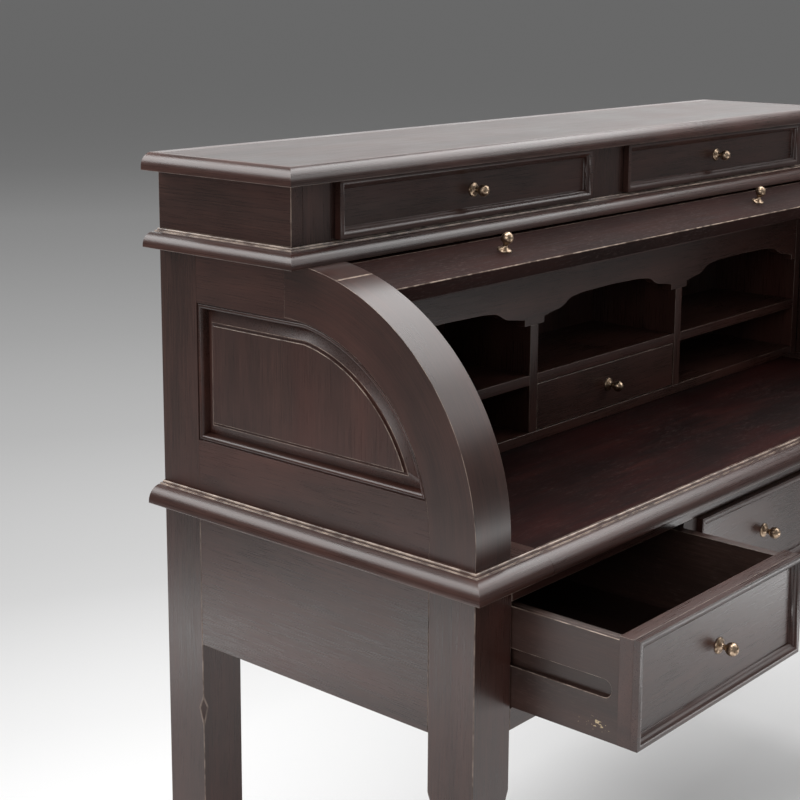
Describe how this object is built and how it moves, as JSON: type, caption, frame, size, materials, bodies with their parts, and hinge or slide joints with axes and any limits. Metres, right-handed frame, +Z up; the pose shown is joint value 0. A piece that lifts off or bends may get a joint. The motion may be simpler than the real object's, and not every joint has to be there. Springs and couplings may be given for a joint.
{
  "type": "roll top desk",
  "caption": "Roll top desk with a curved rolling lid, pigeonholes, a sliding writing leaf, drawers above and below, and square legs.",
  "frame": {"origin": "on the floor, in the middle of the plan of the box round the desk as it stands, 181.375 mm behind the legs' front faces", "axes": "+X along the width to the sitter's right, +Y from the front to the back, +Z up"},
  "size_m": [1.502, 0.7772, 1.2425],
  "materials": {
    "dark_stained_wood": "satin lacquer over a very dark brown stain",
    "writing_surface_wood": "satin lacquer, reddish dark brown",
    "drawer_box_wood": "thin dark stain",
    "aged_brass": "aged brass"
  },
  "bodies": {
    "desk_case": {"apron_back": "dark_stained_wood", "apron_left": "dark_stained_wood", "apron_right": "dark_stained_wood", "back_panels": "drawer_box_wood", "curved_rail_left": "dark_stained_wood", "curved_rail_right": "dark_stained_wood", "drawer_partitions": "dark_stained_wood", "drawer_runners": "drawer_box_wood", "front_lower_rail": "dark_stained_wood", "front_upper_rail": "dark_stained_wood", "leg_front_left": "dark_stained_wood", "leg_front_right": "dark_stained_wood", "leg_rear_left": "dark_stained_wood", "leg_rear_right": "dark_stained_wood", "lid_closing_board": "dark_stained_wood", "lid_rear_guides": "dark_stained_wood", "middle_board": "dark_stained_wood", "middle_edge": "dark_stained_wood", "pigeonhole_carcass": "dark_stained_wood", "pigeonhole_dividers": "dark_stained_wood", "pigeonhole_shelves": "dark_stained_wood", "side_frame_left": "dark_stained_wood", "side_frame_right": "dark_stained_wood", "side_panel_left": "dark_stained_wood", "side_panel_right": "dark_stained_wood", "top_edge_left": "dark_stained_wood", "top_edge_moulding": "dark_stained_wood", "top_edge_right": "dark_stained_wood", "top_end_board_left": "dark_stained_wood", "top_end_board_right": "dark_stained_wood", "top_panel": "dark_stained_wood", "top_rear_board": "dark_stained_wood", "upper_case_centre": "dark_stained_wood", "upper_case_left": "dark_stained_wood", "upper_case_right": "dark_stained_wood", "valance": "dark_stained_wood"},
    "upper_drawer_left": {"upper_drawer_left_box": "drawer_box_wood", "upper_drawer_left_front": "dark_stained_wood", "upper_drawer_left_knob": "aged_brass"},
    "upper_drawer_right": {"upper_drawer_right_box": "drawer_box_wood", "upper_drawer_right_front": "dark_stained_wood", "upper_drawer_right_knob": "aged_brass"},
    "lower_drawer_left": {"lower_drawer_left_box": "drawer_box_wood", "lower_drawer_left_front": "dark_stained_wood", "lower_drawer_left_knob": "aged_brass"},
    "lower_drawer_centre": {"lower_drawer_centre_box": "drawer_box_wood", "lower_drawer_centre_front": "dark_stained_wood", "lower_drawer_centre_knob": "aged_brass"},
    "lower_drawer_right": {"lower_drawer_right_box": "drawer_box_wood", "lower_drawer_right_front": "dark_stained_wood", "lower_drawer_right_knob": "aged_brass"},
    "inner_drawer": {"inner_drawer_box": "drawer_box_wood", "inner_drawer_front": "dark_stained_wood", "inner_drawer_knob": "aged_brass"},
    "roll_lid": {"lid_front_rail": "dark_stained_wood", "lid_panel": "dark_stained_wood", "lid_tongues": "dark_stained_wood", "lid_knobs": "aged_brass"},
    "writing_leaf": {"writing_leaf_board": "writing_surface_wood", "writing_leaf_nose": "writing_surface_wood"}
  },
  "joints": [
    {"name": "roll_lid_turn", "type": "hinge", "parent": "desk_case", "child": "roll_lid", "pos_m": [0, 0.14363, 0.79], "axis": [-1, 0, 0], "range_deg": [-70.01, 0]},
    {"name": "writing_leaf_slide", "type": "slide", "parent": "desk_case", "child": "writing_leaf", "axis": [0, -1, 0], "range_m": [0, 0.24]},
    {"name": "upper_drawer_left_slide", "type": "slide", "parent": "desk_case", "child": "upper_drawer_left", "axis": [0, -1, 0], "range_m": [0, 0.15]},
    {"name": "upper_drawer_right_slide", "type": "slide", "parent": "desk_case", "child": "upper_drawer_right", "axis": [0, -1, 0], "range_m": [0, 0.15]},
    {"name": "lower_drawer_left_slide", "type": "slide", "parent": "desk_case", "child": "lower_drawer_left", "axis": [0, -1, 0], "range_m": [-0.1795, 0.1405]},
    {"name": "lower_drawer_centre_slide", "type": "slide", "parent": "desk_case", "child": "lower_drawer_centre", "axis": [0, -1, 0], "range_m": [0, 0.32]},
    {"name": "lower_drawer_right_slide", "type": "slide", "parent": "desk_case", "child": "lower_drawer_right", "axis": [0, -1, 0], "range_m": [0, 0.32]},
    {"name": "inner_drawer_slide", "type": "slide", "parent": "desk_case", "child": "inner_drawer", "axis": [0, -1, 0], "range_m": [0, 0.1]}
  ]
}
